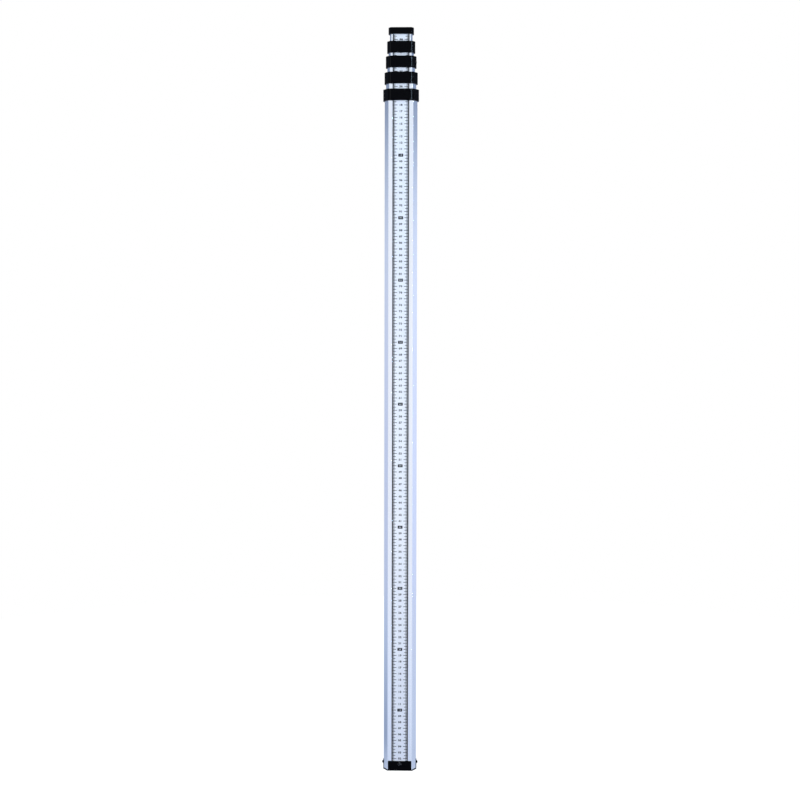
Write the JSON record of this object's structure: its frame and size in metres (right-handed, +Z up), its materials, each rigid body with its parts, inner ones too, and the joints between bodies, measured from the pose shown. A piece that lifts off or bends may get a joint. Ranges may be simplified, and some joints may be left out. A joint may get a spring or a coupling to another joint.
{
  "type": "leveling rod",
  "caption": "Telescopic aluminium leveling rod of nested flattened tubes with black collars, sprung lock buttons and a metric scale.",
  "frame": {"origin": "centre of the base cap's underside, where the rod stands", "axes": "+Z up along the rod, +X to the right as the millimetre scale is read, -Y towards the reader of the millimetre scale"},
  "size_m": [0.0582, 0.0328, 1.2045],
  "materials": {
    "anodised_aluminium": "satin anodised, slightly blue",
    "printed_strip": "satin, printed in black",
    "black_plastic": "satin moulded, fine grain",
    "foot_plastic": "matt moulded",
    "black_screw": "black oxide",
    "dark_rivet": "black painted",
    "steel": "bright plated"
  },
  "bodies": {
    "section_1": {"tube_1": "anodised_aluminium", "collar_1": "black_plastic", "collar_rivets_1": "dark_rivet", "base_cap": "black_plastic", "base_side_screws": "black_screw", "base_face_screws": "black_screw", "front_strip_1": "printed_strip", "rear_strip_1": "printed_strip"},
    "section_2": {"tube_2": "anodised_aluminium", "collar_2": "black_plastic", "collar_rivets_2": "dark_rivet", "slide_foot_2": "foot_plastic", "foot_rivets_2": "steel", "lock_spring_2": "steel", "front_strip_2": "printed_strip", "rear_strip_2": "printed_strip"},
    "section_3": {"tube_3": "anodised_aluminium", "collar_3": "black_plastic", "collar_rivets_3": "dark_rivet", "slide_foot_3": "foot_plastic", "foot_rivets_3": "steel", "lock_spring_3": "steel", "front_strip_3": "printed_strip", "rear_strip_3": "printed_strip"},
    "section_4": {"tube_4": "anodised_aluminium", "collar_4": "black_plastic", "collar_rivets_4": "dark_rivet", "slide_foot_4": "foot_plastic", "foot_rivets_4": "steel", "lock_spring_4": "steel", "front_strip_4": "printed_strip", "rear_strip_4": "printed_strip"},
    "section_5": {"tube_5": "anodised_aluminium", "slide_foot_5": "foot_plastic", "foot_rivets_5": "steel", "lock_spring_5": "steel", "top_cap": "black_plastic", "top_cap_rivets": "black_screw", "front_strip_5": "printed_strip", "rear_strip_5": "printed_strip"},
    "button_2": {"lock_button_2": "steel"},
    "button_3": {"lock_button_3": "steel"},
    "button_4": {"lock_button_4": "steel"},
    "button_5": {"lock_button_5": "steel"}
  },
  "joints": [
    {"name": "section_2_slide", "type": "slide", "parent": "section_1", "child": "section_2", "axis": [0, 0, 1], "range_m": [0, 0.9502]},
    {"name": "section_3_slide", "type": "slide", "parent": "section_2", "child": "section_3", "axis": [0, 0, 1], "range_m": [0, 0.9457]},
    {"name": "section_4_slide", "type": "slide", "parent": "section_3", "child": "section_4", "axis": [0, 0, 1], "range_m": [0, 0.9494]},
    {"name": "section_5_slide", "type": "slide", "parent": "section_4", "child": "section_5", "axis": [0, 0, 1], "range_m": [0, 0.9494]},
    {"name": "button_2_push", "type": "slide", "parent": "section_2", "child": "button_2", "axis": [1, 0, 0], "range_m": [0, 0.00195], "stiffness_N_per_m": 500, "springref_m": 0.004, "deforming": ["lock_spring_2"]},
    {"name": "button_3_push", "type": "slide", "parent": "section_3", "child": "button_3", "axis": [1, 0, 0], "range_m": [0, 0.00195], "stiffness_N_per_m": 500, "springref_m": 0.004, "deforming": ["lock_spring_3"]},
    {"name": "button_4_push", "type": "slide", "parent": "section_4", "child": "button_4", "axis": [1, 0, 0], "range_m": [0, 0.00195], "stiffness_N_per_m": 500, "springref_m": 0.004, "deforming": ["lock_spring_4"]},
    {"name": "button_5_push", "type": "slide", "parent": "section_5", "child": "button_5", "axis": [1, 0, 0], "range_m": [0, 0.00195], "stiffness_N_per_m": 500, "springref_m": 0.004, "deforming": ["lock_spring_5"]}
  ]
}
